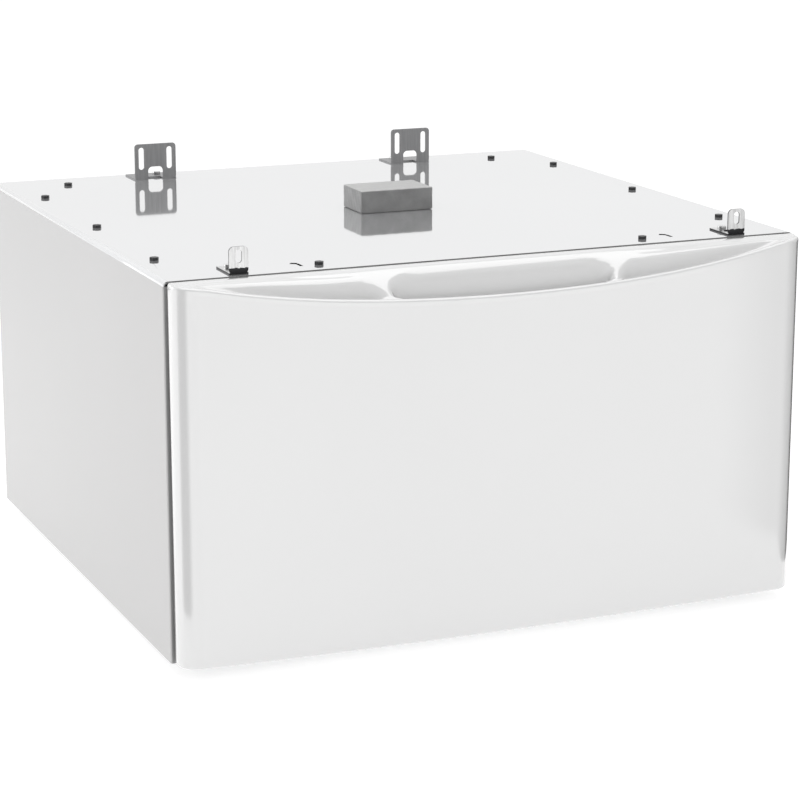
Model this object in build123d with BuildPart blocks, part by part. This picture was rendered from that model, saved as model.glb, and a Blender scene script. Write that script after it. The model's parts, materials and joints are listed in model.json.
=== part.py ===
from build123d import *
import math
import os

# Laundry pedestal with a full-height bowed storage drawer.
# Millimetres. +Z up, front towards -Y, +X to the right, floor at Z = 0.

# ---- overall cabinet -------------------------------------------------------
WIDTH = 686.0            # across the side panels
HALF = WIDTH / 2
FRONT = -298.5           # front edge of the cabinet sheets
BACK = 337.9             # rear edge of the cabinet sheets
FOOT_HEIGHT = 14.0       # underside of the cabinet above the floor
TOP = 394.0              # top surface
SHEET = 1.2              # cabinet sheet
ROLL = 5.0               # rolled side edge of the top panel
SEAM = TOP - ROLL        # top panel meets the side panels here
UNDER = TOP - SHEET      # underside of the top sheet
OPENING = 323.0          # half width of the drawer opening

# ---- fasteners and brackets ------------------------------------------------
BOLT_R = 3.0
BOLT_HOLE_R = 3.3
SCREW_R = 2.4
SCREW_HOLE_R = 2.6
EDGE_BOLTS = [(317, 108), (317, 306), (317, 510)]
REAR_BOLT = (269, 586)
FRONT_BOLT_X = (-175.5, 180.0)
FRONT_BOLT_Y = 25.0
BOLT_FLATS = 8.2         # across the hexagon
BOLT_HEAD = 2.9
REAR_BRACKET_X = 162.0
REAR_BRACKET_W = 50.0
REAR_BRACKET_Y = 590.0   # front face of the upright, from the front edge
REAR_BRACKET_H = 42.0
REAR_SCREW = (152, 619)
FRONT_BRACKET_X = (-264.5, 280.0)
FRONT_BRACKET_W = 19.6
FRONT_BRACKET_Y = 7.0
FRONT_BRACKET_H = 27.0
FRONT_SCREW_Y = 37.0
SLIT_X = (-194.5, 213.0)  # bend of each hooked slit
SLIT_Y = 36.0

# ---- drawer front ----------------------------------------------------------
BOW = 43.0               # how far the bow stands forward at the middle
BOW_SIDE = 32.4          # the same at the side edges
FRONT_HALF = 340.0
FRONT_REAR = 5.0         # gap between drawer front and cabinet
FRONT_WALL = 3.0
FRONT_BOTTOM = 15.0
LIP_DROP = 30.4          # drop of the scoop's curved edge at the middle
LIP_RISE = (2.186e-4, 6.18e-10)  # its rise with the second and fourth power of X
POCKET = (-126.0, 118.0) # finger pocket across X

# ---- drawer box and slides -------------------------------------------------
BOX_SHEET = 1.2
SLIDE_Z = 197.0
SLIDE_FACE = 322.5       # face that the slides are welded to
SLIDE_LENGTH = 500.0
SLIDE_START = 6.0
BOX_HALF = SLIDE_FACE - 12.7
BOX_FRONT = -3.8
BOX_BACK = 548.0
BOX_BOTTOM = 60.0
BOX_TOP = 343.0
BALL_R = 1.65
CAGE_START = 200.0
CAGE_LENGTH = 120.0
BALL_PITCH = 14.0
BALLS_PER_ROW = 8

# ---- levelling feet --------------------------------------------------------
FOOT_X = 283.0
FOOT_Y_FRONT = 60.0
FOOT_Y_REAR = 575.0
STUD_R = 5.0

os.makedirs("parts", exist_ok=True)


def y_of(distance):
    """Row Y of a point measured back from the cabinet's front edge."""
    return FRONT + distance


def save(piece, label):
    piece.part.label = label
    export_step(piece.part, f"parts/{label}.step")


def block(x0, x1, y0, y1, z0, z1, mode=Mode.ADD):
    with Locations(((x0 + x1) / 2, (y0 + y1) / 2, (z0 + z1) / 2)):
        Box(x1 - x0, y1 - y0, z1 - z0, mode=mode)


def post(x, y, z0, z1, radius, mode=Mode.ADD):
    with Locations((x, y, (z0 + z1) / 2)):
        Cylinder(radius, z1 - z0, mode=mode)


def post_y(x, z, y0, y1, radius, mode=Mode.ADD):
    with Locations((x, (y0 + y1) / 2, z)):
        Cylinder(radius, y1 - y0, rotation=(90, 0, 0), mode=mode)


def post_x(y, z, x0, x1, radius, mode=Mode.ADD):
    with Locations(((x0 + x1) / 2, y, z)):
        Cylinder(radius, x1 - x0, rotation=(0, 90, 0), mode=mode)


def hexagon(x, y, z0, z1, across_flats):
    with BuildSketch(Plane.XY.offset(z0)) as outline:
        with Locations((x, y)):
            RegularPolygon(across_flats / 2, 6, major_radius=False)
    extrude(outline.sketch, amount=z1 - z0)


def both_sides(points):
    return [(s * x, y_of(y)) for s in (-1, 1) for x, y in points]


def save_pair(right, name):
    """Store a right-hand piece and its mirror image."""
    save(right, f"{name}_right")
    with BuildPart() as left:
        mirror(right.part, about=Plane.YZ)
    save(left, f"{name}_left")


# ============================================================================
# Cabinet
# ============================================================================
FRONT_BOLTS = [(x, y_of(FRONT_BOLT_Y)) for x in FRONT_BOLT_X]
REAR_BOLTS = both_sides([REAR_BOLT])
ALL_BOLTS = both_sides(EDGE_BOLTS) + FRONT_BOLTS + REAR_BOLTS
REAR_SCREWS = both_sides([REAR_SCREW])
FRONT_SCREWS = [(x, y_of(FRONT_SCREW_Y)) for x in FRONT_BRACKET_X]

with BuildPart() as top_panel:
    with BuildSketch(Plane.XZ.offset(-FRONT)):
        with BuildLine():
            CenterArc((HALF - ROLL, SEAM), ROLL, 0, 90)
            Line((HALF - ROLL, TOP), (ROLL - HALF, TOP))
            CenterArc((ROLL - HALF, SEAM), ROLL, 90, 90)
            Line((-HALF, SEAM), (SHEET - HALF, SEAM))
            CenterArc((ROLL - HALF, SEAM), ROLL - SHEET, 180, -90)
            Line((ROLL - HALF, UNDER), (HALF - ROLL, UNDER))
            CenterArc((HALF - ROLL, SEAM), ROLL - SHEET, 90, -90)
            Line((HALF - SHEET, SEAM), (HALF, SEAM))
        make_face()
    extrude(amount=FRONT - BACK)
    block(-OPENING + 0.5, OPENING - 0.5, FRONT, FRONT + SHEET, TOP - 30, UNDER)
    block(-299, 299, BACK - SHEET, BACK, TOP - 22, UNDER)
    for x, y in ALL_BOLTS:
        post(x, y, UNDER - 1, TOP + 1, BOLT_HOLE_R, Mode.SUBTRACT)
    for x, y in REAR_SCREWS + FRONT_SCREWS:
        post(x, y, UNDER - 1, TOP + 1, SCREW_HOLE_R, Mode.SUBTRACT)
    for x in SLIT_X:
        with BuildSketch(Plane.XY.offset(UNDER - 1)):
            with BuildLine() as heel:
                Line((x - 5.5, y_of(SLIT_Y + 4)), (x, y_of(SLIT_Y)))
            trace(heel.line, line_width=6.4)
            with BuildLine() as tail:
                Line((x, y_of(SLIT_Y)), (x + 0.2, y_of(SLIT_Y - 13)))
            trace(tail.line, line_width=3.6)
        extrude(amount=SHEET + 2, mode=Mode.SUBTRACT)
save(top_panel, "top_panel")

with BuildPart() as side_panel:
    with BuildSketch(Plane.XY.offset(FOOT_HEIGHT)):
        with BuildLine():
            FilletPolyline((OPENING, FRONT), (HALF, FRONT), (HALF, BACK), (HALF - 25, BACK), radius=2.2)
            offset(amount=SHEET, side=Side.LEFT)
        make_face()
    extrude(amount=SEAM - FOOT_HEIGHT)
    block(HALF - 25, HALF - SHEET, FRONT + SHEET, BACK - SHEET, FOOT_HEIGHT, FOOT_HEIGHT + SHEET)
    block(HALF - 2.7, HALF - SHEET, FRONT + SHEET, BACK - SHEET, SEAM - 12, SEAM)
    block(HALF - 2.7, HALF - 1.5, FRONT + SHEET, BACK - SHEET, SEAM - 1, SEAM + 0.3)
    with BuildSketch(Plane.XZ.offset(-FRONT - SHEET)):
        with BuildLine():
            CenterArc((HALF - ROLL, SEAM + 0.3), 3.5, 0, 90)
            Line((HALF - ROLL, UNDER), (300, UNDER))
            Line((300, UNDER), (300, UNDER - SHEET))
            Line((300, UNDER - SHEET), (HALF - ROLL, UNDER - SHEET))
            CenterArc((HALF - ROLL, SEAM + 0.3), 2.3, 90, -90)
            Line((HALF - 2.7, SEAM + 0.3), (HALF - 1.5, SEAM + 0.3))
        make_face()
    extrude(amount=-(BACK - FRONT - 2 * SHEET))
    for x, y in EDGE_BOLTS:
        post(x, y_of(y), UNDER - 3, TOP, BOLT_HOLE_R, Mode.SUBTRACT)
    for z in (60, 205, 350):
        post_y(HALF - 14, z, BACK - 3, BACK + 1, SCREW_HOLE_R, Mode.SUBTRACT)
save_pair(side_panel, "side_panel")

with BuildPart() as rear_panel:
    block(-HALF + 3, HALF - 3, BACK, BACK + SHEET, FOOT_HEIGHT + 2, TOP - 4)
    for z in (115, 205, 295):
        block(-270, 270, BACK - 3, BACK + SHEET, z - 12, z + 12)
        block(-268.8, 268.8, BACK - 1.8, BACK + SHEET, z - 10.8, z + 10.8, Mode.SUBTRACT)
    for s in (-1, 1):
        for z in (60, 205, 350):
            post_y(s * (HALF - 14), z, BACK - 1, BACK + SHEET + 1, SCREW_HOLE_R, Mode.SUBTRACT)
save(rear_panel, "rear_panel")

with BuildPart() as rear_panel_screws:
    for s in (-1, 1):
        for z in (60, 205, 350):
            post_y(s * (HALF - 14), z, BACK - 9, BACK + SHEET, SCREW_R)
            post_y(s * (HALF - 14), z, BACK + SHEET, BACK + SHEET + 2.4, 4.5)
save(rear_panel_screws, "rear_panel_screws")

with BuildPart() as front_bottom_rail:
    block(-340.6, 340.6, FRONT + SHEET, FRONT + 2 * SHEET, 15.2, 50)
    block(-340.6, 340.6, FRONT + SHEET, y_of(42), 15.2, 16.4)
    block(-321, 321, FRONT + SHEET, y_of(16), 48.8, 50)
save(front_bottom_rail, "front_bottom_rail")

with BuildPart() as rear_bottom_rail:
    block(-340.6, 340.6, BACK - 2 * SHEET, BACK - SHEET, 15.2, 45)
    block(-340.6, 340.6, BACK - 42, BACK - SHEET, 15.2, 16.4)
    block(-321, 321, BACK - 16, BACK - SHEET, 43.8, 45)
    for s in (-1, 1):
        post_y(s * (HALF - 14), 60, BACK - 12, BACK, 6, Mode.SUBTRACT)
save(rear_bottom_rail, "rear_bottom_rail")

with BuildPart() as front_top_rail:
    block(-299, 299, FRONT + SHEET, y_of(46), UNDER - SHEET, UNDER)
    block(-299, 299, FRONT + SHEET, FRONT + 2 * SHEET, TOP - 30, UNDER)
    block(-299, 299, y_of(44.8), y_of(46), TOP - 22, UNDER)
    for x, y in FRONT_BOLTS:
        post(x, y, UNDER - 3, TOP, BOLT_HOLE_R, Mode.SUBTRACT)
    for x, y in FRONT_SCREWS:
        post(x, y, UNDER - 3, TOP, SCREW_HOLE_R, Mode.SUBTRACT)
    for x in SLIT_X:
        block(x - 12, x + 6, y_of(SLIT_Y - 18), y_of(SLIT_Y + 8.4), UNDER - 3, TOP, Mode.SUBTRACT)
save(front_top_rail, "front_top_rail")

with BuildPart() as rear_top_rail:
    block(-299, 299, y_of(565), BACK - SHEET, UNDER - SHEET, UNDER)
    block(-299, 299, BACK - 2 * SHEET, BACK - SHEET, TOP - 30, UNDER)
    block(-299, 299, y_of(565), y_of(566.2), TOP - 22, UNDER)
    for x, y in REAR_BOLTS:
        post(x, y, UNDER - 3, TOP, BOLT_HOLE_R, Mode.SUBTRACT)
    for x, y in REAR_SCREWS:
        post(x, y, UNDER - 3, TOP, SCREW_HOLE_R, Mode.SUBTRACT)
save(rear_top_rail, "rear_top_rail")

with BuildPart() as top_reinforcement:
    block(92, 96, y_of(47), y_of(564), UNDER - SHEET, UNDER)
    block(94.8, 96, y_of(47), y_of(564), TOP - 20, UNDER)
    block(94.8, 125.2, y_of(47), y_of(564), TOP - 20, TOP - 18.8)
    block(124, 125.2, y_of(47), y_of(564), TOP - 20, UNDER)
    block(124, 134, y_of(47), y_of(564), UNDER - SHEET, UNDER)
    block(86, 96, y_of(47), y_of(564), UNDER - SHEET, UNDER)
save_pair(top_reinforcement, "top_reinforcement")

with BuildPart() as top_bolts:
    for x, y in ALL_BOLTS:
        hexagon(x, y, TOP, TOP + BOLT_HEAD, BOLT_FLATS)
        post(x, y, TOP - 16, TOP, BOLT_R)
save(top_bolts, "top_bolts")

with BuildPart() as clinch_nuts:
    for x, y in ALL_BOLTS:
        post(x, y, UNDER - SHEET - 5, UNDER - SHEET, 5)
        post(x, y, UNDER - SHEET - 6, UNDER, BOLT_R + 0.05, Mode.SUBTRACT)
save(clinch_nuts, "clinch_nuts")

# ============================================================================
# Appliance brackets on the top
# ============================================================================
with BuildPart() as rear_bracket:
    thick = 1.6
    face = y_of(REAR_BRACKET_Y)
    half = REAR_BRACKET_W / 2
    with BuildSketch(Plane.XZ.offset(-face)):
        with Locations((REAR_BRACKET_X, TOP + REAR_BRACKET_H / 2)):
            Rectangle(REAR_BRACKET_W, REAR_BRACKET_H)
        fillet(vertices().group_by(Axis.Z)[-1], 4)
        for s in (-1, 1):
            with Locations((REAR_BRACKET_X + s * 17, TOP + 25)):
                SlotOverall(26, 6.5, rotation=90, mode=Mode.SUBTRACT)
    extrude(amount=-thick)
    block(REAR_BRACKET_X - half, REAR_BRACKET_X + half, face, y_of(629), TOP, TOP + thick)
    with BuildSketch(Plane.XZ.offset(-face + 1)):
        with Locations((REAR_BRACKET_X, TOP + 7.5)):
            Rectangle(18, 15.2)
        fillet(vertices().group_by(Axis.Z)[-1], 5)
    extrude(amount=-thick - 2, mode=Mode.SUBTRACT)
    block(REAR_BRACKET_X - 9, REAR_BRACKET_X + 9, face - 1, face + 12, TOP - 1, TOP + 3, Mode.SUBTRACT)
    for s in (-1, 1):
        with BuildSketch(Plane.YZ.offset(REAR_BRACKET_X + s * 17 - 2)):
            with BuildLine():
                Polyline(
                    (face + thick, TOP + thick),
                    (face + thick + 6, TOP + thick),
                    (face + thick, TOP + thick + 6),
                    close=True,
                )
            make_face()
        extrude(amount=4)
    post(REAR_SCREW[0], y_of(REAR_SCREW[1]), TOP - 1, TOP + 3, SCREW_HOLE_R, Mode.SUBTRACT)
save_pair(rear_bracket, "rear_bracket")

with BuildPart() as front_bracket_left:
    thick = 1.6
    face = y_of(FRONT_BRACKET_Y)
    half = FRONT_BRACKET_W / 2
    middle = FRONT_BRACKET_X[0]
    with BuildSketch(Plane.XZ.offset(-face)):
        with Locations((middle, TOP + FRONT_BRACKET_H / 2)):
            Rectangle(FRONT_BRACKET_W, FRONT_BRACKET_H)
        fillet(vertices().group_by(Axis.Z)[-1], 5)
        with Locations((middle, TOP + 17.5)):
            SlotOverall(13, 6.5, rotation=90, mode=Mode.SUBTRACT)
    extrude(amount=-thick)
    block(middle - half, middle + half, face, y_of(45), TOP, TOP + thick)
    with BuildSketch(Plane.YZ.offset(middle - 3)):
        with BuildLine():
            Polyline(
                (face + thick, TOP + thick),
                (face + thick + 7, TOP + thick),
                (face + thick, TOP + thick + 7),
                close=True,
            )
        make_face()
    extrude(amount=6)
    post(middle, y_of(26), TOP + thick, TOP + thick + 1.2, 3)
    post(middle, y_of(FRONT_SCREW_Y), TOP - 1, TOP + 3, SCREW_HOLE_R, Mode.SUBTRACT)
save(front_bracket_left, "front_bracket_left")

with BuildPart() as front_bracket_right:
    add(front_bracket_left.part.moved(Location((FRONT_BRACKET_X[1] - FRONT_BRACKET_X[0], 0, 0))))
save(front_bracket_right, "front_bracket_right")

with BuildPart() as bracket_screws:
    for x, y in REAR_SCREWS + FRONT_SCREWS:
        post(x, y, TOP + 1.6, TOP + 4.6, 4.6)
        post(x, y, TOP - 12, TOP + 1.6, SCREW_R)
save(bracket_screws, "bracket_screws")

with BuildPart() as foam_block:
    block(-30, 54, y_of(273), y_of(328), TOP, TOP + 25)
save(foam_block, "foam_block")

# ============================================================================
# Slides
# ============================================================================
SLIDE_Y0 = y_of(SLIDE_START)
SLIDE_Y1 = SLIDE_Y0 + SLIDE_LENGTH


def channel(web, lip, outside, inside, y0, y1, back=False):
    """C-section rail; web and lip are distances inboard of the slide face."""
    x_web = sorted((SLIDE_FACE - web[0], SLIDE_FACE - web[1]))
    x_lip = sorted((SLIDE_FACE - lip[0], SLIDE_FACE - lip[1]))
    block(x_web[0], x_web[1], y0, y1, SLIDE_Z - outside, SLIDE_Z + outside)
    block(x_lip[0], x_lip[1], y0, y1, SLIDE_Z + inside, SLIDE_Z + outside)
    block(x_lip[0], x_lip[1], y0, y1, SLIDE_Z - outside, SLIDE_Z - inside)


with BuildPart() as slide_mount:
    block(SLIDE_FACE, SLIDE_FACE + 1.5, y_of(5), y_of(572), SLIDE_Z - 30, SLIDE_Z + 30)
    block(SLIDE_FACE, HALF - SHEET, y_of(5), y_of(572), SLIDE_Z + 28.5, SLIDE_Z + 30)
    block(SLIDE_FACE, HALF - SHEET, y_of(5), y_of(572), SLIDE_Z - 30, SLIDE_Z - 28.5)
save_pair(slide_mount, "slide_mount")

with BuildPart() as slide_outer:
    channel((0, 1.2), (0, 9.6), 22.5, 21.3, SLIDE_Y0, SLIDE_Y1)
save_pair(slide_outer, "slide_outer")

with BuildPart() as slide_middle:
    channel((2.2, 3.4), (2.2, 10.8), 17.9, 16.7, SLIDE_Y0, SLIDE_Y1)
save_pair(slide_middle, "slide_middle")

with BuildPart() as slide_inner:
    channel((11.5, 12.7), (4.4, 12.7), 13.3, 12.1, SLIDE_Y0, SLIDE_Y1)
    for y in (60, 250, 440):
        post_x(y_of(y), SLIDE_Z, SLIDE_FACE - 13, SLIDE_FACE - 11, 2.1, Mode.SUBTRACT)
save_pair(slide_inner, "slide_inner")

CAGE_Y0 = y_of(CAGE_START)
CAGE_Y1 = CAGE_Y0 + CAGE_LENGTH
BALL_Y = [CAGE_Y0 + 11 + BALL_PITCH * i for i in range(BALLS_PER_ROW)]
for row, web, lip_end, mid, ball_in in (("outer", 1.4, 9.0, 19.6, 6.0), ("inner", 3.6, 10.4, 15.0, 7.6)):
    with BuildPart() as cage:
        channel((web, web + 0.6), (web, lip_end), mid + 0.3, mid - 0.3, CAGE_Y0, CAGE_Y1)
        for y in BALL_Y:
            post(SLIDE_FACE - ball_in, y, SLIDE_Z - mid - 1, SLIDE_Z + mid + 1, BALL_R + 0.1, Mode.SUBTRACT)
    save_pair(cage, f"ball_cage_{row}")
    with BuildPart() as balls:
        with Locations([(SLIDE_FACE - ball_in, y, SLIDE_Z + s * mid) for y in BALL_Y for s in (-1, 1)]):
            Sphere(BALL_R)
    save_pair(balls, f"balls_{row}")

# ============================================================================
# Drawer box
# ============================================================================
BOX_Y0 = y_of(BOX_FRONT)
BOX_Y1 = y_of(BOX_BACK)
INNER = BOX_HALF - BOX_SHEET

with BuildPart() as drawer_side:
    block(INNER, BOX_HALF, BOX_Y0, BOX_Y1, BOX_BOTTOM, BOX_TOP)
    block(INNER - 9, BOX_HALF, BOX_Y0, BOX_Y1, BOX_TOP - BOX_SHEET, BOX_TOP)
    block(INNER - 9, INNER - 9 + BOX_SHEET, BOX_Y0, BOX_Y1, BOX_TOP - 7, BOX_TOP)
    block(INNER - 9, BOX_HALF, BOX_Y0, BOX_Y1, BOX_BOTTOM, BOX_BOTTOM + BOX_SHEET)
    for y in (60, 250, 440):
        post_x(y_of(y), SLIDE_Z, INNER - 1, BOX_HALF + 1, 2.1, Mode.SUBTRACT)
save_pair(drawer_side, "drawer_side")

with BuildPart() as drawer_slide_screws:
    for s in (-1, 1):
        for y in (60, 250, 440):
            x_head = sorted((s * (BOX_HALF + 1.2), s * (BOX_HALF + 3.2)))
            x_shank = sorted((s * (BOX_HALF - 6), s * (BOX_HALF + 1.2)))
            post_x(y_of(y), SLIDE_Z, x_head[0], x_head[1], 3.6)
            post_x(y_of(y), SLIDE_Z, x_shank[0], x_shank[1], 1.9)
save(drawer_slide_screws, "drawer_slide_screws")

with BuildPart() as drawer_bottom:
    block(
        -INNER,
        INNER,
        BOX_Y0 + BOX_SHEET,
        BOX_Y1 - BOX_SHEET,
        BOX_BOTTOM + BOX_SHEET,
        BOX_BOTTOM + 2 * BOX_SHEET,
    )
save(drawer_bottom, "drawer_bottom")

FRONT_SCREW_SPOTS = [(s * x, z) for s in (-1, 1) for x in (90, 260) for z in (115, 310)]

with BuildPart() as drawer_box_front:
    block(-INNER + 9, INNER - 9, BOX_Y0, BOX_Y0 + BOX_SHEET, BOX_BOTTOM + 2 * BOX_SHEET, BOX_TOP)
    block(-INNER, INNER, BOX_Y0, BOX_Y0 + BOX_SHEET, BOX_BOTTOM + 2 * BOX_SHEET, BOX_TOP - 8)
    block(-INNER + 9.5, INNER - 9.5, BOX_Y0, BOX_Y0 + BOX_SHEET, BOX_BOTTOM, BOX_TOP)
    block(-INNER + 9, INNER - 9, BOX_Y0, BOX_Y0 + 9, BOX_TOP - BOX_SHEET, BOX_TOP)
    for x, z in FRONT_SCREW_SPOTS:
        post_y(x, z, BOX_Y0 - 1, BOX_Y0 + 3, SCREW_HOLE_R, Mode.SUBTRACT)
save(drawer_box_front, "drawer_box_front")

with BuildPart() as drawer_back:
    block(-INNER, INNER, BOX_Y1 - BOX_SHEET, BOX_Y1, BOX_BOTTOM + BOX_SHEET, BOX_TOP - 8)
    block(-INNER + 9, INNER - 9, BOX_Y1 - BOX_SHEET, BOX_Y1, BOX_BOTTOM + BOX_SHEET, BOX_TOP)
    block(-INNER + 9, INNER - 9, BOX_Y1 - 9, BOX_Y1, BOX_TOP - BOX_SHEET, BOX_TOP)
save(drawer_back, "drawer_back")

# ============================================================================
# Drawer front
# ============================================================================
def lip_height(x):
    """Height of the scoop's front edge on the bowed face."""
    return TOP - LIP_DROP + LIP_RISE[0] * x ** 2 + LIP_RISE[1] * x ** 4


def bow_y(x):
    return y_of(-(BOW - (BOW - BOW_SIDE) * (x / FRONT_HALF) ** 2))


def front_block(inset, rear, bottom, top):
    """Solid under the bowed plan outline, drawn in by inset."""
    half = FRONT_HALF - inset
    side_y = bow_y(FRONT_HALF) + inset
    with BuildPart() as solid:
        with BuildSketch(Plane.XY.offset(bottom)) as plan:
            with BuildLine():
                ThreePointArc((-half, side_y), (0, y_of(-BOW) + inset), (half, side_y))
                Polyline((half, side_y), (half, rear), (-half, rear), (-half, side_y))
            make_face()
            corners = plan.vertices().filter_by(lambda v: abs(v.Y - side_y) < 0.01)
            fillet(corners, 23 - inset)
        extrude(amount=top - bottom)
    return solid.part


def scoop_tool(grow):
    """Volume above the concave scoop behind the drawer front's top lip."""
    with BuildPart() as tool:
        for x in (-350, -280, -200, -100, 0, 100, 200, 280, 350):
            edge_y = bow_y(x) + grow * 0.7
            edge_z = lip_height(x) - grow * 0.7
            crease_y = y_of(-17) + grow * 0.7
            crease_z = TOP - 3 - grow * 0.7
            drop = crease_z - edge_z
            mid_y = (edge_y + crease_y) / 2 + 0.10 * drop
            mid_z = (edge_z + crease_z) / 2 - 0.10 * drop - 0.6
            with BuildSketch(Plane.YZ.offset(x)):
                with BuildLine():
                    Line((y_of(-14) + grow, TOP + 12), (y_of(-14) + grow, TOP - grow * 0.7))
                    Line((y_of(-14) + grow, TOP - grow * 0.7), (crease_y, crease_z))
                    ThreePointArc((crease_y, crease_z), (mid_y, mid_z), (edge_y, edge_z))
                    Line((edge_y, edge_z), (y_of(-60), edge_z - 8))
                    Line((y_of(-60), edge_z - 8), (y_of(-60), TOP + 12))
                    Line((y_of(-60), TOP + 12), (y_of(-14) + grow, TOP + 12))
                make_face()
        loft()
    return tool.part


def pocket_block(grow):
    """Finger pocket sunk behind the lip."""
    with BuildPart() as pocket:
        with BuildSketch(Plane.XY.offset(TOP - 62 - grow)):
            with Locations(((POCKET[0] + POCKET[1]) / 2, y_of(-29.5))):
                RectangleRounded(POCKET[1] - POCKET[0] + 2 * grow, 17 + 2 * grow, 7.5 + grow)
        extrude(amount=70)
    return pocket.part


outer_body = front_block(0, y_of(-FRONT_REAR), FRONT_BOTTOM, TOP)
inner_body = front_block(FRONT_WALL, y_of(0), FRONT_BOTTOM + FRONT_WALL, TOP - FRONT_WALL)
outer_scoop = scoop_tool(0)
inner_scoop = scoop_tool(FRONT_WALL)

with BuildPart() as hollow:
    add(inner_body)
    add(inner_scoop, mode=Mode.SUBTRACT)
    add(pocket_block(2.0), mode=Mode.SUBTRACT)

with BuildPart() as drawer_front:
    add(outer_body)
    add(outer_scoop, mode=Mode.SUBTRACT)
    add(hollow.part, mode=Mode.SUBTRACT)
    add(pocket_block(0), mode=Mode.SUBTRACT)
save(drawer_front, "drawer_front")

with BuildPart() as drawer_front_back_panel:
    block(-FRONT_HALF + 3.3, FRONT_HALF - 3.3, y_of(-6.2), y_of(-FRONT_REAR), FRONT_BOTTOM + 3.3, TOP - 3.3)
    block(-290, 290, y_of(-FRONT_REAR), BOX_Y0, 90, 335)
    for x, z in FRONT_SCREW_SPOTS:
        post_y(x, z, y_of(-8), y_of(0), SCREW_HOLE_R, Mode.SUBTRACT)
save(drawer_front_back_panel, "drawer_front_back_panel")

with BuildPart() as drawer_front_screws:
    for x, z in FRONT_SCREW_SPOTS:
        post_y(x, z, BOX_Y0 + BOX_SHEET, BOX_Y0 + BOX_SHEET + 2.4, 4.5)
        post_y(x, z, y_of(-13), BOX_Y0 + BOX_SHEET, SCREW_R)
save(drawer_front_screws, "drawer_front_screws")

with BuildPart() as drawer_bumpers:
    for s in (-1, 1):
        for z in (45, 360):
            post_y(s * 331, z, y_of(-FRONT_REAR), y_of(-0.3), 5)
save(drawer_bumpers, "drawer_bumpers")

# ============================================================================
# Corner gussets and levelling feet
# ============================================================================
CORNERS = [
    ("front_left", -1, FOOT_Y_FRONT, FRONT + 2 * SHEET, y_of(100)),
    ("front_right", 1, FOOT_Y_FRONT, FRONT + 2 * SHEET, y_of(100)),
    ("rear_left", -1, FOOT_Y_REAR, y_of(535), BACK - 2 * SHEET),
    ("rear_right", 1, FOOT_Y_REAR, y_of(535), BACK - 2 * SHEET),
]
for corner, s, foot_y, y_near, y_far in CORNERS:
    x_in, x_out = sorted((s * 243, s * 340.6))
    centre = (s * FOOT_X, y_of(foot_y))
    with BuildPart() as gusset:
        block(x_in, x_out, y_near, y_far, 16.4, 18.9)
        post(centre[0], centre[1], 18.9, 24, 11)
        post(centre[0], centre[1], 15, 26, STUD_R + 0.06, Mode.SUBTRACT)
    save(gusset, f"corner_gusset_{corner}")
    with BuildPart() as foot_pad:
        with BuildSketch(Plane.XZ.offset(-centre[1])):
            with BuildLine():
                Polyline(
                    (centre[0], 0), (centre[0] + 18, 0), (centre[0] + 19, 2),
                    (centre[0] + 16, 6), (centre[0] + 11, 8), (centre[0] + 5.3, 8),
                    (centre[0] + 5.3, 3), (centre[0], 3), close=True)
            make_face()
        revolve(axis=Axis((centre[0], centre[1], 0), (0, 0, 1)))
    save(foot_pad, f"foot_pad_{corner}")
    with BuildPart() as foot_stud:
        post(centre[0], centre[1], 3.2, 58, STUD_R)
        hexagon(centre[0], centre[1], 8.3, 12.5, 14)
    save(foot_stud, f"foot_stud_{corner}")

with BuildPart() as lock_nuts:
    for corner, s, foot_y, y_near, y_far in CORNERS:
        hexagon(s * FOOT_X, y_of(foot_y), 24, 30, 17)
        post(s * FOOT_X, y_of(foot_y), 23, 31, STUD_R + 0.06, Mode.SUBTRACT)
save(lock_nuts, "lock_nuts")
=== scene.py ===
"""Laundry pedestal with a bowed storage drawer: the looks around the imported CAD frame."""
import json
import math

import bmesh
import bpy
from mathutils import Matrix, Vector


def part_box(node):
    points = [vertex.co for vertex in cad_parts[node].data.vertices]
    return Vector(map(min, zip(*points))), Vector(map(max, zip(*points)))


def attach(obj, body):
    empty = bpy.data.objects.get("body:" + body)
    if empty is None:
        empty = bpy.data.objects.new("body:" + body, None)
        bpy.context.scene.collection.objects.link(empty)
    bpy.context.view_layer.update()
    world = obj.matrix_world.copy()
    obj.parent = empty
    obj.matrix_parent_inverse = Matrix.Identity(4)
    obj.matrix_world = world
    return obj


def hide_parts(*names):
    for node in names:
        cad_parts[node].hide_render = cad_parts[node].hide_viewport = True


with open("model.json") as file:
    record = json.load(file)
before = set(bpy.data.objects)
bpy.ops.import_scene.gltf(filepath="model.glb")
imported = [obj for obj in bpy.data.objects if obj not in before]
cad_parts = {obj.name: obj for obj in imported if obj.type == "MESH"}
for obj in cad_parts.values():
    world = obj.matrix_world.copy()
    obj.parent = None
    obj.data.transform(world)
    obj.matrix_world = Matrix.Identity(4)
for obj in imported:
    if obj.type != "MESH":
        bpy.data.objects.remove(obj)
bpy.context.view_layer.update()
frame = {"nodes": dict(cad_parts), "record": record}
nodes = frame["nodes"]

MM = 0.001

# ---------------------------------------------------------------- camera
CAMERA_PLACE = (-1.0636, -2.5797, 0.8698)
CAMERA_AZIMUTH = math.radians(22.89)
CAMERA_PITCH = math.radians(-13.919)
CAMERA_LENS = 116.03

camera_data = bpy.data.cameras.new("camera")
camera_data.lens = CAMERA_LENS
camera_data.sensor_width = 36.0
camera_data.clip_end = 200.0
camera = bpy.data.objects.new("camera", camera_data)
bpy.context.scene.collection.objects.link(camera)
camera.location = CAMERA_PLACE
look = Vector((
    math.sin(CAMERA_AZIMUTH) * math.cos(CAMERA_PITCH),
    math.cos(CAMERA_AZIMUTH) * math.cos(CAMERA_PITCH),
    math.sin(CAMERA_PITCH),
))
camera.rotation_mode = "QUATERNION"
camera.rotation_quaternion = look.to_track_quat("-Z", "Y")
bpy.context.scene.camera = camera


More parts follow.
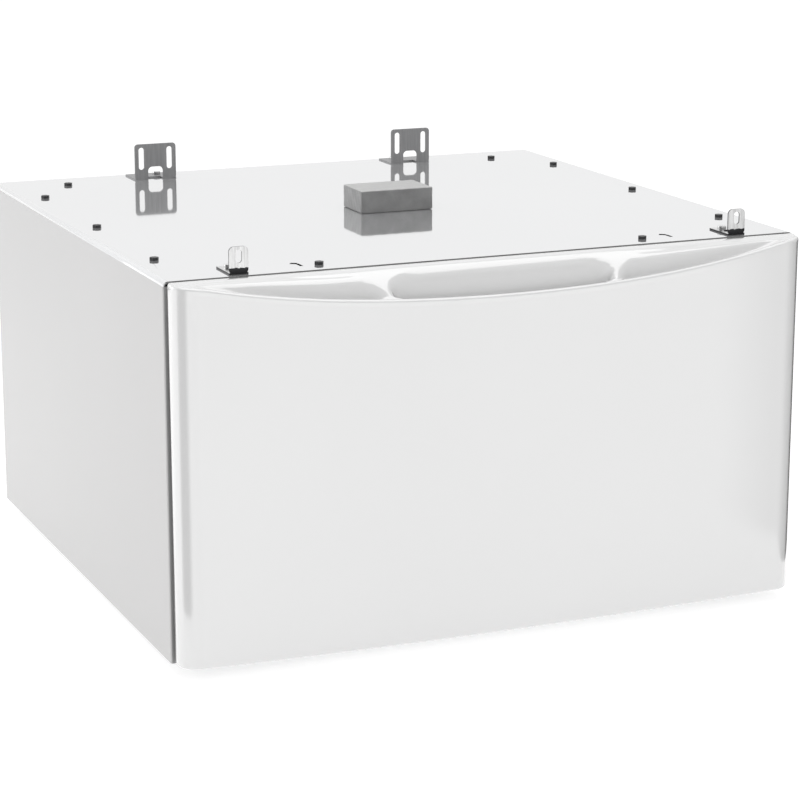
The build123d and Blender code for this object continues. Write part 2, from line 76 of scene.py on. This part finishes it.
# ---------------------------------------------------------------- materials
# A colour Mix node has sockets of every type, so these are reached by number.
MIX_FACTOR, MIX_A, MIX_B, MIX_RESULT = 0, 6, 7, 2


class Nodes:
    """A material's node tree with short calls."""

    def __init__(self, name):
        self.material = bpy.data.materials.new(name)
        self.material.use_nodes = True
        self.tree = self.material.node_tree
        self.shader = self.tree.nodes["Principled BSDF"]
        self.coords = self.add("ShaderNodeTexCoord")

    def add(self, kind, **values):
        node = self.tree.nodes.new(kind)
        for key, value in values.items():
            setattr(node, key, value)
        return node

    def link(self, a, out, b, into):
        self.tree.links.new(a.outputs[out], b.inputs[into])

    def set(self, **values):
        for key, value in values.items():
            self.shader.inputs[key.replace("_", " ")].default_value = value

    def noise(self, scale, detail=4.0, stretch=(1, 1, 1)):
        mapping = self.add("ShaderNodeMapping")
        mapping.inputs["Scale"].default_value = stretch
        self.link(self.coords, "Object", mapping, "Vector")
        texture = self.add("ShaderNodeTexNoise")
        texture.inputs["Scale"].default_value = scale
        texture.inputs["Detail"].default_value = detail
        texture.inputs["Roughness"].default_value = 0.5
        self.link(mapping, "Vector", texture, "Vector")
        return texture

    def cells(self, scale):
        texture = self.add("ShaderNodeTexVoronoi", feature="F1")
        texture.inputs["Scale"].default_value = scale
        self.link(self.coords, "Object", texture, "Vector")
        return texture

    def ramp(self, source, out, low, high, at=(0.35, 0.65)):
        ramp = self.add("ShaderNodeValToRGB")
        ramp.color_ramp.elements[0].position = at[0]
        ramp.color_ramp.elements[1].position = at[1]
        ramp.color_ramp.elements[0].color = (*low, 1)
        ramp.color_ramp.elements[1].color = (*high, 1)
        self.link(source, out, ramp, "Fac")
        return ramp

    def spread(self, source, out, low, high):
        spread = self.add("ShaderNodeMapRange")
        spread.inputs["To Min"].default_value = low
        spread.inputs["To Max"].default_value = high
        self.link(source, out, spread, "Value")
        return spread

    def bump(self, source, out, strength, distance):
        bump = self.add("ShaderNodeBump")
        bump.inputs["Strength"].default_value = strength
        bump.inputs["Distance"].default_value = distance
        self.link(source, out, bump, "Height")
        self.link(bump, "Normal", self.shader, "Normal")

    def place(self):
        """The surface point, split into X, Y and Z."""
        place = self.add("ShaderNodeSeparateXYZ")
        self.link(self.coords, "Object", place, "Vector")
        return place

    def normal(self):
        """The surface normal, split into X, Y and Z."""
        shape = self.add("ShaderNodeNewGeometry")
        parts = self.add("ShaderNodeSeparateXYZ")
        self.link(shape, "Normal", parts, "Vector")
        return parts

    def band(self, source, out, low, high):
        """0 at low or less, 1 at high or more."""
        band = self.add("ShaderNodeMapRange")
        band.inputs["From Min"].default_value = low
        band.inputs["From Max"].default_value = high
        self.link(source, out, band, "Value")
        return band

    def compare(self, operation, source, out, limit):
        node = self.add("ShaderNodeMath", operation=operation)
        node.inputs[1].default_value = limit
        self.link(source, out, node, 0)
        return node

    def combine(self, operation, a, out_a, b, out_b):
        node = self.add("ShaderNodeMath", operation=operation)
        self.link(a, out_a, node, 0)
        self.link(b, out_b, node, 1)
        return node

    def size(self, source, out):
        node = self.add("ShaderNodeMath", operation="ABSOLUTE")
        self.link(source, out, node, 0)
        return node

    def blend(self, factor, out):
        """A colour mix driven by factor."""
        blend = self.add("ShaderNodeMix", data_type="RGBA")
        self.link(factor, out, blend, MIX_FACTOR)
        return blend


def edge_mask(m, axis, low, high, above=None):
    """Rises from 0 to 1 as the normal's share along axis goes from low to high, above a height."""
    size = m.size(m.normal(), axis)
    mask = m.band(size, "Value", low, high)
    if above is None:
        return mask, "Result"
    over = m.compare("GREATER_THAN", m.place(), "Z", above)
    return m.combine("MULTIPLY", mask, "Result", over, "Value"), "Value"


def enamel(
    name,
    colour,
    grazing,
    roughness=0.05,
    peel=0.015,
    ior=1.52,
    coat=0.6,
    onset=0.55,
    painted_shade_faces=None,
    painted_shade_grey=None,
    blur=0.03,
):
    """White gloss paint: a faint orange peel, a sheen at low angles, and painted shade: a flat grey painted
    on chosen faces such as cut edges.

    The first of the two shade arguments says which faces get the painted shade, as for edge_mask; the
    second gives its grey at the front and elsewhere.
    """
    m = Nodes(name)
    m.set(Roughness=roughness, IOR=ior, Coat_Weight=coat, Coat_Roughness=blur)
    tint = m.noise(3.0, 2.0)
    low = tuple(c * 0.985 for c in colour)
    paint = m.ramp(tint, "Fac", low, colour)
    if painted_shade_faces:
        # painted shade: the chosen faces take a flat grey in place of the white paint
        mask, out = edge_mask(m, *painted_shade_faces)
        depth = m.spread(m.place(), "Y", *painted_shade_grey)
        depth.inputs["From Min"].default_value = CAB_FRONT + 1 * MM
        depth.inputs["From Max"].default_value = CAB_FRONT + 2 * MM
        blend = m.blend(mask, out)
        m.link(paint, "Color", blend, MIX_A)
        m.link(depth, "Result", blend, MIX_B)
        m.link(blend, MIX_RESULT, m.shader, "Base Color")
    else:
        m.link(paint, "Color", m.shader, "Base Color")
    m.bump(m.noise(260.0, 2.0), "Fac", peel, 0.0004)
    facing = m.add("ShaderNodeLayerWeight")
    facing.inputs["Blend"].default_value = 0.5
    sheen = m.add("ShaderNodeMapRange", interpolation_type="SMOOTHSTEP")
    sheen.inputs["From Min"].default_value = onset
    sheen.inputs["From Max"].default_value = 0.80
    sheen.inputs["To Max"].default_value = grazing
    m.link(facing, "Facing", sheen, "Value")
    m.link(sheen, "Result", m.shader, "Metallic")
    return m.material


def metal(name, dark, light, roughness, grain, bump=0.05, spangle=None):
    """Plated or galvanised sheet with rolled grain or spangle."""
    m = Nodes(name)
    m.set(Metallic=1.0, IOR=1.5)
    if spangle:
        pattern = m.cells(spangle)
        ramp = m.ramp(pattern, "Color", dark, light, (0.1, 0.9))
    else:
        pattern = m.noise(grain, 6.0, (1.0, 1.0, 0.06))
        ramp = m.ramp(pattern, "Fac", dark, light)
    m.link(ramp, "Color", m.shader, "Base Color")
    cloud = m.noise(40.0, 4.0)
    rough = m.spread(cloud, "Fac", roughness * 0.75, roughness * 1.25)
    m.link(rough, "Result", m.shader, "Roughness")
    m.bump(pattern, "Distance" if spangle else "Fac", bump, 0.0002)
    return m.material


def front_bracket_zinc(name):
    """Bright zinc; its cut edges, its upward faces above the bend and the forward face of the bend at the
    foot of the upright are painted near black with a wavy edge, as painted shade and painted dark
    reflection.
    """
    m = Nodes(name)
    m.set(Metallic=1.0, IOR=1.5)
    streaks = m.noise(520.0, 6.0, (1.0, 1.0, 0.06))
    zinc = m.ramp(streaks, "Fac", (0.58, 0.58, 0.58), (0.80, 0.80, 0.80))
    place = m.place()
    facing = m.normal()
    # painted shade: faces that look sideways, the cut edges, are painted near black
    side = m.band(m.size(facing, "X"), "Value", 0.35, 0.7)
    # painted dark reflection: forward faces of the bend, below a wavy line, are painted near black
    ripple = m.noise(260.0, 2.0, (1.0, 0.0, 0.0))
    wave = m.spread(ripple, "Fac", TOP_Z + BEND_LOW, TOP_Z + BEND_HIGH)
    below = m.combine("LESS_THAN", place, "Z", wave, "Result")
    front = m.compare("LESS_THAN", facing, "Y", -0.3)
    bend = m.combine("MULTIPLY", below, "Value", front, "Value")
    # painted shade: upward faces above the bend are painted near black
    high = m.compare("GREATER_THAN", place, "Z", TOP_Z + BEND_HIGH)
    up = m.compare("GREATER_THAN", facing, "Z", 0.5)
    painted_rim_shade = m.combine("MULTIPLY", high, "Value", up, "Value")
    dark = m.combine("MAXIMUM", bend, "Value", painted_rim_shade, "Value")
    painted_dark_mask = m.combine("MAXIMUM", dark, "Value", side, "Result")
    # the near-black colour of the painted shade and painted dark reflection
    blend = m.blend(painted_dark_mask, "Value")
    blend.inputs[MIX_B].default_value = (0.035, 0.035, 0.037, 1)
    m.link(zinc, "Color", blend, MIX_A)
    m.link(blend, MIX_RESULT, m.shader, "Base Color")
    cloud = m.noise(40.0, 4.0)
    m.link(m.spread(cloud, "Fac", 0.14, 0.24), "Result", m.shader, "Roughness")
    m.bump(streaks, "Fac", 0.03, 0.0002)
    return m.material


def black_oxide(name):
    """Blackened steel, worn unevenly."""
    m = Nodes(name)
    m.set(IOR=1.5, Metallic=0.35)
    wear = m.noise(700.0, 5.0)
    colour = m.ramp(wear, "Fac", (0.022, 0.022, 0.024), (0.06, 0.06, 0.062))
    m.link(colour, "Color", m.shader, "Base Color")
    m.link(m.spread(wear, "Fac", 0.30, 0.50), "Result", m.shader, "Roughness")
    m.bump(wear, "Fac", 0.15, 0.0002)
    return m.material


def rubber(name):
    """Matt black rubber with a fine grain."""
    m = Nodes(name)
    m.set(IOR=1.5, Sheen_Weight=0.1)
    grain = m.noise(900.0, 4.0)
    colour = m.ramp(grain, "Fac", (0.022, 0.022, 0.022), (0.045, 0.045, 0.045))
    m.link(colour, "Color", m.shader, "Base Color")
    m.link(m.spread(grain, "Fac", 0.65, 0.85), "Result", m.shader, "Roughness")
    m.bump(grain, "Fac", 0.2, 0.0002)
    return m.material


def foam(name):
    """Grey open-cell foam: pores, soft clouds, and a lighter grey painted on faces that look up, as painted
    light from above.
    """
    m = Nodes(name)
    m.set(Roughness=0.95, IOR=1.35, Sheen_Weight=1.0, Sheen_Roughness=0.45)
    pores = m.cells(1400.0)
    clouds = m.noise(60.0, 5.0)
    mix = m.add("ShaderNodeMix", data_type="RGBA", blend_type="MULTIPLY")
    mix.inputs["Factor"].default_value = 0.6
    dark = m.ramp(clouds, "Fac", (0.232, 0.232, 0.232), (0.288, 0.288, 0.288))
    # painted light: faces that look up get a lighter grey, standing in for the light falling from above
    painted_top_light = m.band(m.normal(), "Z", 0.3, 0.95)
    base = m.blend(painted_top_light, "Result")
    base.inputs[MIX_B].default_value = (0.57, 0.57, 0.565, 1)
    m.link(dark, "Color", base, MIX_A)
    pits = m.ramp(pores, "Distance", (0.72, 0.72, 0.72), (1.0, 1.0, 1.0), (0.05, 0.45))
    m.link(base, MIX_RESULT, mix, MIX_A)
    m.link(pits, "Color", mix, MIX_B)
    m.link(mix, MIX_RESULT, m.shader, "Base Color")
    m.bump(pores, "Distance", 0.55, 0.0004)
    return m.material


TOP_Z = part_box("foam_block")[0].z
CAB_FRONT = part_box("drawer_front")[1].y + 5 * MM      # the cabinet's front edge
BEND_LOW, BEND_HIGH = 4.5 * MM, 8.0 * MM              # a front bracket's bend above the top, which holds its painted dark band
TOP_SKIN = 1.3 * MM                                   # no cut edge lies deeper than this

top_enamel = enamel(
    "top_enamel",
    (0.83, 0.835, 0.845),
    0.75,
    # painted shade: upright faces within the top sheet's thickness, the walls of its slots, are painted
    # near black, dark grey at the very front
    painted_shade_faces=("Z", 0.5, 0.3, TOP_Z - TOP_SKIN),
    painted_shade_grey=(0.26, 0.02),
)
# The cabinet's white paint with its colour darkened to grey: painted shade on the side and rear panels.
side_enamel = enamel(
    "side_enamel",
    (0.59, 0.585, 0.585),
    0.45,
    0.25,
    ior=1.4,
    coat=0.0,
    onset=0.70,
    # painted shade: faces that look forward or back are painted mid grey, the front flange darker, for the
    # shade in the gap behind the drawer front
    painted_shade_faces=("Y", 0.8, 0.95),
    painted_shade_grey=(0.30, 0.5),
)
front_white = enamel("front_gloss_white", (0.825, 0.825, 0.825), 0.60, 0.11, 0.006, 2.3, blur=0.12)
box_white = enamel("drawer_box_coat", (0.76, 0.77, 0.78), 0.1, 0.32, 0.06)
galvanised = metal("galvanised_sheet", (0.52, 0.53, 0.54), (0.68, 0.69, 0.70), 0.38, 0, 0.03, spangle=140.0)
plated = metal("zinc_plated", (0.60, 0.61, 0.62), (0.72, 0.73, 0.74), 0.26, 420.0)
zinc_grey = metal("dull_zinc", (0.34, 0.34, 0.345), (0.40, 0.40, 0.405), 0.40, 520.0)
zinc_bright = metal("bright_zinc", (0.62, 0.62, 0.62), (0.78, 0.78, 0.78), 0.16, 520.0, 0.03)
bracket_zinc = front_bracket_zinc("bracket_zinc")
ball_steel = metal("bearing_steel", (0.70, 0.70, 0.71), (0.78, 0.78, 0.79), 0.08, 900.0, 0.0)
oxide = black_oxide("black_oxide")
black_rubber = rubber("black_rubber")
grey_foam = foam("grey_foam")

FINISH = {
    "cabinet_white": side_enamel,
    "front_white": front_white,
    "drawer_box_white": box_white,
    "galvanised_steel": galvanised,
    "plated_steel": plated,
    "zinc_grey": zinc_grey,
    "zinc_bright": zinc_bright,
    "bolt_black": oxide,
    "ball_steel": ball_steel,
    "rubber_black": black_rubber,
    "foam_grey": grey_foam,
}

OWN_FINISH = {
    "top_panel": top_enamel,
    "front_bracket_left": bracket_zinc,
    "front_bracket_right": bracket_zinc,
}

# ---------------------------------------------------------------- CAD nodes
BEVELS = {
    "top_panel": 0.5,
    "side_panel_left": 0.4,
    "side_panel_right": 0.4,
    "rear_panel": 0.3,
    "top_bolts": 0.5,
    "rear_bracket_left": 0.35,
    "rear_bracket_right": 0.35,
    "front_bracket_left": 0.35,
    "front_bracket_right": 0.35,
    "bracket_screws": 1.4,
    "lock_nuts": 0.4,
    "rear_panel_screws": 0.7,
    "drawer_front_screws": 0.6,
    "drawer_bumpers": 0.8,
}
NO_BEVEL = ("balls_", "ball_cage_", "slide_", "foot_pad_")

for entry in frame["record"]["subparts"]:
    piece = nodes[entry["node"]]
    piece.data.materials.clear()
    piece.data.materials.append(FINISH[entry["material_slot"]])
    if piece.name in OWN_FINISH:
        piece.data.materials[0] = OWN_FINISH[piece.name]
    if piece.name.startswith(NO_BEVEL):
        continue
    weld = piece.modifiers.new("weld", "WELD")
    weld.merge_threshold = 1e-6
    bevel = piece.modifiers.new("bevel", "BEVEL")
    bevel.width = BEVELS.get(piece.name, 0.25) * MM
    bevel.segments = 2
    bevel.limit_method = "ANGLE"
    bevel.angle_limit = math.radians(40)


# ---------------------------------------------------------------- mesh helpers
def new_piece(name, verts, faces, material, body):
    mesh = bpy.data.meshes.new(name)
    mesh.from_pydata([tuple(v) for v in verts], [], faces)
    mesh.validate()
    mesh.polygons.foreach_set("use_smooth", [True] * len(mesh.polygons))
    mesh.materials.append(material)
    piece = bpy.data.objects.new(name, mesh)
    bpy.context.scene.collection.objects.link(piece)
    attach(piece, body)
    return piece


def smoothstep(a, b, x):
    t = min(1.0, max(0.0, (x - a) / (b - a)))
    return t * t * (3 - 2 * t)


def mix(a, b, t):
    return a + (b - a) * t


# ---------------------------------------------------------------- drawer front
front_low, front_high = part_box("drawer_front")
RIDGE_Z = front_high.z
FRONT_DROP = (front_low.z - front_high.z) / MM
SIDE_X = front_high.x / MM
BOW, BOW_FALL = 43.0, 10.6
CORNER_R = 23.0
LIP_DROP, LIP_RISE = 30.4, (2.186e-4, 6.18e-10)
BEAD_R = 3.0
BEAD_PROUD = 0.5
SKIN = 2.2
EDGE_ROUND = 3.0


def bow(x):
    return -(BOW - BOW_FALL * (x / SIDE_X) ** 2)


TANGENT_X = SIDE_X - CORNER_R - 1.3
CORNER_Y = bow(TANGENT_X) + CORNER_R * math.cos(math.radians(3.3))


def plan_y(x):
    """Front surface in plan: the bow, then the upright edge's radius."""
    ax = abs(x)
    if ax <= TANGENT_X:
        return bow(ax)
    across = min(CORNER_R, ax - (SIDE_X - CORNER_R))
    return CORNER_Y - math.sqrt(max(0.0, CORNER_R ** 2 - across ** 2))


def lip_z(x):
    """Height of the lip below the ridge; it runs out into the corner's crown."""
    rise = -LIP_DROP + LIP_RISE[0] * x * x + LIP_RISE[1] * x ** 4
    return min(rise, -1.0) if rise < -4 else -1.0 - 3.0 * math.exp(-(rise + 4) / 3.0)


POCKET_LEFT, POCKET_RIGHT = -126.0, 122.0
POCKET_END = 22.0
POCKET_WIDEST = 0.50       # how far up the section the pocket keeps its full length
POCKET_ROUND = 20.0        # how much shorter it is at its upper edge
POCKET_FLOOR = -56.0
LOBE_AT_LIP, LOBE_AT_CREASE = 118.0, 152.0


def line_at(points, t):
    """Point at t on a smooth line whose points carry their own t."""
    last = len(points) - 2
    for i in range(last + 1):
        if t <= points[i + 1][0] or i == last:
            break
    (t0, a), (t1, b) = points[i], points[i + 1]
    before = points[max(0, i - 1)]
    after = points[min(last + 1, i + 2)]
    k = (t - t0) / (t1 - t0)
    span = t1 - t0
    out = []
    for c in (0, 1):
        slope_a = (b[c] - before[1][c]) / max(1e-6, t1 - before[0]) * span
        slope_b = (after[1][c] - a[c]) / max(1e-6, after[0] - t0) * span
        h = 2 * k ** 3 - 3 * k ** 2 + 1
        g = k ** 3 - 2 * k ** 2 + k
        f = k ** 3 - k ** 2
        out.append(h * a[c] + g * slope_a + (1 - h) * b[c] + f * slope_b)
    return tuple(out)


def bezier(a, b, c, t):
    u = 1 - t
    return tuple(u * u * p + 2 * u * t * q + t * t * r for p, q, r in zip(a, b, c))


SCOOP_STEPS = 44


# The side lobes' section, as shares of the way from lip to crease, back and up.
LOBE = [
    (0.00, (0.00, 0.00)),
    (0.08, (0.07, -0.08)),
    (0.18, (0.16, -0.24)),
    (0.28, (0.27, -0.31)),
    (0.40, (0.40, -0.22)),
    (0.52, (0.49, 0.08)),
    (0.64, (0.56, 0.42)),
    (0.76, (0.65, 0.70)),
    (0.88, (0.80, 0.88)),
    (1.00, (1.00, 1.00)),
]


def scoop_points(x, start, crease):
    """From the lip's bead to the crease under the ridge."""
    crown = (mix(start[0], crease[0], 0.45), mix(start[1], crease[1], 0.62))
    wall = start[0] + 2.2
    slot = start[0] + 10.5
    top = crease[1]
    pocket = [
        (0.0, start),
        (0.04, (start[0] + 1.2, start[1] - 0.5)),
        (0.08, (wall, start[1] - 2.4)),
        (0.20, (wall + 0.4, POCKET_FLOOR + 4)),
        (0.24, (wall + 1.4, POCKET_FLOOR + 1)),
        (0.27, (wall + 3.0, POCKET_FLOOR)),
        (0.31, (slot - 2.6, POCKET_FLOOR)),
        (0.34, (slot - 0.9, POCKET_FLOOR + 1)),
        (0.37, (slot, POCKET_FLOOR + 4)),
        (0.50, (slot + 0.3, start[1] - 3.0)),
        (0.55, (slot + 0.8, start[1] + 0.5)),
        (0.84, (crease[0] - 6.0, top - 11.5)),
        (0.88, (crease[0] - 5.4, top - 8.6)),
        (0.92, (crease[0] - 4.2, top - 5.6)),
        (0.96, (crease[0] - 2.2, top - 2.4)),
        (1.0, crease),
    ]
    points = []
    for i in range(SCOOP_STEPS + 1):
        t = i / SCOOP_STEPS
        round_end = POCKET_ROUND * min(1.0, (max(0.0, t - POCKET_WIDEST) / 0.44) ** 2)
        inside = smoothstep(POCKET_LEFT + round_end, POCKET_LEFT + round_end + POCKET_END, x)
        inside *= smoothstep(round_end - POCKET_RIGHT, round_end - POCKET_RIGHT + POCKET_END, -x)
        lobe_from = mix(LOBE_AT_LIP, LOBE_AT_CREASE, t)
        lobe = smoothstep(lobe_from - 2.0, lobe_from + 16.0, abs(x + 3.0))
        across, up = line_at(LOBE, t)
        hollow = (mix(start[0], crease[0], across), start[1] + (crease[1] - start[1]) * up)
        raised = bezier(start, crown, crease, t)
        base = (mix(raised[0], hollow[0], lobe), mix(raised[1], hollow[1], lobe))
        sunk = line_at(pocket, t)
        points.append((mix(base[0], sunk[0], inside), mix(base[1], sunk[1], inside)))
    return points


def crease_at(ax):
    """How far forward and down the crease under the ridge lies."""
    side = smoothstep(100.0, 190.0, ax)
    end = smoothstep(150.0, 300.0, ax)
    return mix(12.5, mix(16.5, 10.0, end), side), mix(-3.4, mix(-4.6, -1.0, end), side)


def front_section(x):
    """The skin's section at x: (y, z) from the lower rear edge round to the upper rear edge."""
    face = plan_y(x) + BEAD_PROUD
    tip = plan_y(x)
    edge = abs(x) - (SIDE_X - EDGE_ROUND)
    drop = EDGE_ROUND - math.sqrt(max(0.0, EDGE_ROUND ** 2 - max(0.0, edge) ** 2))
    rear = -5.0
    depth = rear - (tip + BEAD_R)
    lip = lip_z(x)
    foot = FRONT_DROP + drop
    points = [(rear, foot), (mix(rear, face + 3, 0.5), foot), (face + 3.0, foot)]
    for i in range(1, 7):
        a = math.radians(90 * i / 6)
        points.append((face + 3.0 - 3.0 * math.sin(a), foot + 3.0 - 3.0 * math.cos(a)))
    start_z = foot + 3.0
    bead_z = lip - BEAD_R - drop
    rise = bead_z - 4.5 - start_z
    for i in range(1, 13):
        points.append((face, start_z + rise * i / 12))
    for i in range(1, 7):
        t = i / 6
        points.append((mix(face, tip, t * t * (3 - 2 * t)), bead_z - 4.5 * (1 - t)))
    for i in range(1, 9):
        a = math.radians(180 - 90 * i / 8)
        points.append((tip + BEAD_R + BEAD_R * math.cos(a), bead_z + BEAD_R * math.sin(a)))
    forward, brow = crease_at(abs(x))
    crease_y = rear - min(forward, 0.55 * depth)
    brow *= min(1.0, depth / 20)
    crease_z = brow - drop
    start = points[-1]
    points += scoop_points(x, start, (crease_y, crease_z))[1:]
    back = rear - crease_y
    for share, z in ((0.90, 0.65), (0.80, 0.40), (0.68, 0.20), (0.55, 0.07), (0.40, 0.0), (0.25, 0.0)):
        points.append((rear - back * share, z * brow - drop))
    for i in range(1, 6):
        a = math.radians(90 * i / 5)
        r = min(2.0, back * 0.22)
        points.append((rear - r + r * math.sin(a), -r + r * math.cos(a) - drop))
    points.append((rear, -6.0 - drop))
    return points


def front_columns():
    xs = []
    for i in range(13):
        a = math.radians(mix(-3.3, 90.0, i / 12))
        xs.append(SIDE_X - CORNER_R + CORNER_R * math.sin(a))
    for x in (337.0, 337.8, 338.6, 339.2, 339.6, 339.85):
        xs.append(x)
    xs += [-x for x in xs]
    x = -TANGENT_X + 6.0
    while x < TANGENT_X - 3.0:
        xs.append(x)
        near_end = min(abs(x - POCKET_LEFT - 15), abs(x - POCKET_RIGHT + 15))
        x += 2.0 if near_end < 40 else 5.0
    kept = []
    for x in sorted(xs):
        if not kept or x - kept[-1] > 0.05:
            kept.append(x)
    return kept


def build_drawer_front():
    verts, faces = [], []
    columns = front_columns()
    for x in columns:
        for y, z in front_section(x):
            verts.append((x * MM, CAB_FRONT + y * MM, RIDGE_Z + z * MM))
    rows = len(verts) // len(columns)
    for i in range(len(columns) - 1):
        for j in range(rows - 1):
            a = i * rows + j
            faces.append((a, a + rows, a + rows + 1, a + 1))
    faces.append(tuple(range(rows)))
    last = (len(columns) - 1) * rows
    faces.append(tuple(last + j for j in reversed(range(rows))))
    piece = new_piece("drawer_front_skin", verts, faces, front_white, "drawer")
    bm = bmesh.new()
    bm.from_mesh(piece.data)
    bmesh.ops.recalc_face_normals(bm, faces=bm.faces)
    bm.to_mesh(piece.data)
    bm.free()
    shell = piece.modifiers.new("shell", "SOLIDIFY")
    shell.thickness = SKIN * MM
    shell.offset = -1
    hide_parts("drawer_front")


build_drawer_front()


# ---------------------------------------------------------------- foam block
def build_foam():
    """Cut foam: softly crowned faces, worn edges and corners."""
    low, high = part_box("foam_block")
    centre = (low + high) / 2
    half = (high - low) / 2
    bm = bmesh.new()
    bmesh.ops.create_cube(bm, size=2.0)
    bmesh.ops.subdivide_edges(bm, edges=bm.edges[:], cuts=23, use_grid_fill=True)
    round_r = 1.6 * MM
    for v in bm.verts:
        unit = Vector(v.co)
        point = Vector(unit[i] * half[i] for i in range(3))
        core = Vector(max(-(half[i] - round_r), min(half[i] - round_r, point[i])) for i in range(3))
        away = point - core
        if away.length > 0:
            point = core + away.normalized() * round_r
        wave = 0.5 + 0.5 * math.sin(point.x * 420 + point.y * 290) * math.sin(point.y * 510 - point.z * 330)
        shrink = 0.35 * MM * wave
        for i in range(3):
            if abs(unit[i]) > 0.97 and not (i == 2 and unit[i] < 0):
                point[i] -= math.copysign(shrink, unit[i])
        v.co = centre + point
    mesh = bpy.data.meshes.new("foam_pad")
    bm.to_mesh(mesh)
    bm.free()
    mesh.polygons.foreach_set("use_smooth", [True] * len(mesh.polygons))
    mesh.materials.append(grey_foam)
    piece = bpy.data.objects.new("foam_pad", mesh)
    bpy.context.scene.collection.objects.link(piece)
    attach(piece, "cabinet")
    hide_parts("foam_block")


build_foam()

# ---------------------------------------------------------------- floor and light
FLOOR_HALF = 40.0


def build_floor():
    """A pale floor that glows a little, so that it stays white round the object."""
    corners = [(-1, -1), (1, -1), (1, 1), (-1, 1)]
    mesh = bpy.data.meshes.new("floor")
    mesh.from_pydata([(x * FLOOR_HALF, y * FLOOR_HALF, 0) for x, y in corners], [], [(0, 1, 2, 3)])
    m = Nodes("floor_white")
    m.set(
        Base_Color=(0.6, 0.6, 0.6, 1),
        Roughness=0.9,
        Emission_Color=(1, 1, 1, 1),
        Emission_Strength=0.62,
    )
    mesh.materials.append(m.material)
    floor = bpy.data.objects.new("floor", mesh)
    bpy.context.scene.collection.objects.link(floor)


build_floor()


def softbox(name, place, aim, size, power):
    data = bpy.data.lights.new(name, "AREA")
    data.shape = "RECTANGLE"
    data.size, data.size_y = size
    data.energy = power
    light = bpy.data.objects.new(name, data)
    bpy.context.scene.collection.objects.link(light)
    light.location = place
    light.visible_camera = False
    light.rotation_mode = "QUATERNION"
    light.rotation_quaternion = (Vector(aim) - Vector(place)).to_track_quat("-Z", "Y")


softbox("overhead", (-0.3, -0.7, 2.6), (0, -0.1, 0.3), (3.6, 2.6), 34.5)
softbox("rear_left", (-1.6, 1.1, 0.5), (-0.34, 0.25, 0.2), (0.8, 0.6), 2.5)

def flag(name, centre, facing, width, height, soft):
    """A black card that only reflections see, as a photographer shapes a glossy corner with.

    soft is where it fades in and out, as shares of its length along Y.
    """
    out = Vector(facing).normalized()
    along = Vector((-out.y, out.x, 0)) * width / 2
    lift = Vector((0, 0, height))
    base = Vector(centre)
    corners = [base - along, base + along, base + along + lift, base - along + lift]
    mesh = bpy.data.meshes.new(name)
    mesh.from_pydata([tuple(c) for c in corners], [], [(0, 1, 2, 3)])
    m = Nodes(name)
    m.set(Base_Color=(0.02, 0.02, 0.02, 1), Roughness=0.9)
    place = m.add("ShaderNodeSeparateXYZ")
    m.link(m.coords, "Generated", place, "Vector")
    fade = m.add("ShaderNodeValToRGB")
    stops = fade.color_ramp.elements
    stops[0].position = soft[0]
    stops[0].color = (0, 0, 0, 1)
    stops[1].position = soft[1]
    stops[1].color = (1, 1, 1, 1)
    for position, value in ((soft[2], 1.0), (soft[3], 0.0)):
        stop = stops.new(position)
        stop.color = (value, value, value, 1)
    m.link(place, "Y", fade, "Fac")
    m.link(fade, "Color", m.shader, "Alpha")
    mesh.materials.append(m.material)
    card = bpy.data.objects.new(name, mesh)
    bpy.context.scene.collection.objects.link(card)
    card.visible_camera = False
    card.visible_diffuse = False
    card.visible_shadow = False


flag("flag_left", (-0.53, -0.38, 0.0), (0.92, 0.39, 0), 0.26, 0.45, (0.0, 0.30, 0.70, 0.99))
flag("flag_right", (0.47, -0.35, 0.0), (1, 0, 0), 0.60, 0.385, (0.0, 0.5, 0.90, 0.99))

# The studio's walls: brighter behind the object, darker in front of it and at both sides.
world = bpy.data.worlds.new("studio")
world.use_nodes = True
bpy.context.scene.world = world
tree = world.node_tree
background = tree.nodes["Background"]
background.inputs["Color"].default_value = (1, 1, 1, 1)
coords = tree.nodes.new("ShaderNodeTexCoord")


def wall(direction, start, end, low, high, base):
    """Add a patch of brightness around a direction to the walls' strength."""
    dot = tree.nodes.new("ShaderNodeVectorMath")
    dot.operation = "DOT_PRODUCT"
    dot.inputs[1].default_value = Vector(direction).normalized()
    tree.links.new(coords.outputs["Generated"], dot.inputs[0])
    ramp = tree.nodes.new("ShaderNodeMapRange")
    ramp.interpolation_type = "SMOOTHSTEP"
    ramp.inputs["From Min"].default_value = start
    ramp.inputs["From Max"].default_value = end
    ramp.inputs["To Min"].default_value = low
    ramp.inputs["To Max"].default_value = high
    tree.links.new(dot.outputs["Value"], ramp.inputs["Value"])
    total = tree.nodes.new("ShaderNodeMath")
    total.operation = "MULTIPLY"
    tree.links.new(ramp.outputs["Result"], total.inputs[0])
    if base is None:
        total.inputs[1].default_value = 1.0
    else:
        tree.links.new(base.outputs["Value"], total.inputs[1])
    return total


walls = wall((0, 1, 0), -0.6, 0.6, 0.48, 0.93, None)
walls = wall((-0.8, -0.62, 0.0), 0.75, 0.97, 1.0, 0.10, walls)
walls = wall((1.0, 0.15, 0.0), 0.6, 0.98, 1.0, 0.45, walls)
path = tree.nodes.new("ShaderNodeLightPath")
# The walls light the object and show in its gloss, but look plain white themselves.
backdrop = tree.nodes.new("ShaderNodeMix")
backdrop.inputs["B"].default_value = 1.0
tree.links.new(path.outputs["Is Camera Ray"], backdrop.inputs["Factor"])
tree.links.new(walls.outputs["Value"], backdrop.inputs["A"])
tree.links.new(backdrop.outputs["Result"], background.inputs["Strength"])
bpy.context.scene.view_settings.view_transform = "Standard"
